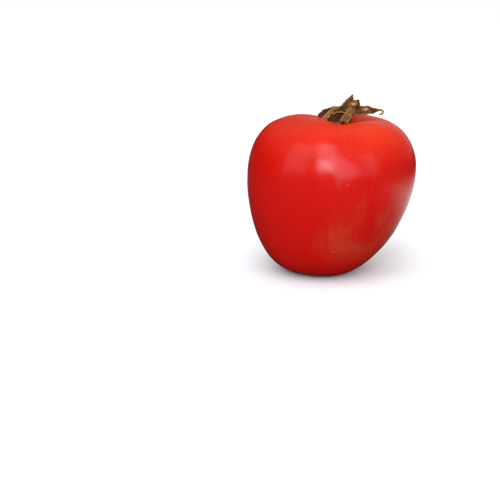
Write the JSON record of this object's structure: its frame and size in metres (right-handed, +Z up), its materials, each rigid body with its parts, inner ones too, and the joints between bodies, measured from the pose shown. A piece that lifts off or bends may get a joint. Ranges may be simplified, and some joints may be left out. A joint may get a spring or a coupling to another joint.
{
  "type": "tomato",
  "caption": "Whole ripe red tomato, broad at the shoulder and narrow below, with a stem stub and dried curled sepals; stands on a small flat spot.",
  "frame": {"origin": "middle of the whole tomato's underside: the centre of its bounding box seen from above, at the height of the flat spot it stands on", "axes": "+Z up, from the flat spot to the stem; -Y is the front; +X is to the right, the side on which the fruit is narrower below"},
  "size_m": [0.066, 0.0638, 0.0704],
  "materials": {
    "skin": "smooth waxy skin, glossy, with fine pale specks",
    "stem": "dry, fibrous, matt",
    "sepal": "dry, wrinkled along its length, matt"
  },
  "bodies": {
    "root": {"fruit": "skin", "stem_stub": "stem", "sepal_right": "sepal", "sepal_front_right": "sepal", "sepal_front": "sepal", "sepal_front_left": "sepal", "sepal_left": "sepal", "sepal_upright": "sepal", "sepal_back": "sepal"}
  },
  "joints": []
}
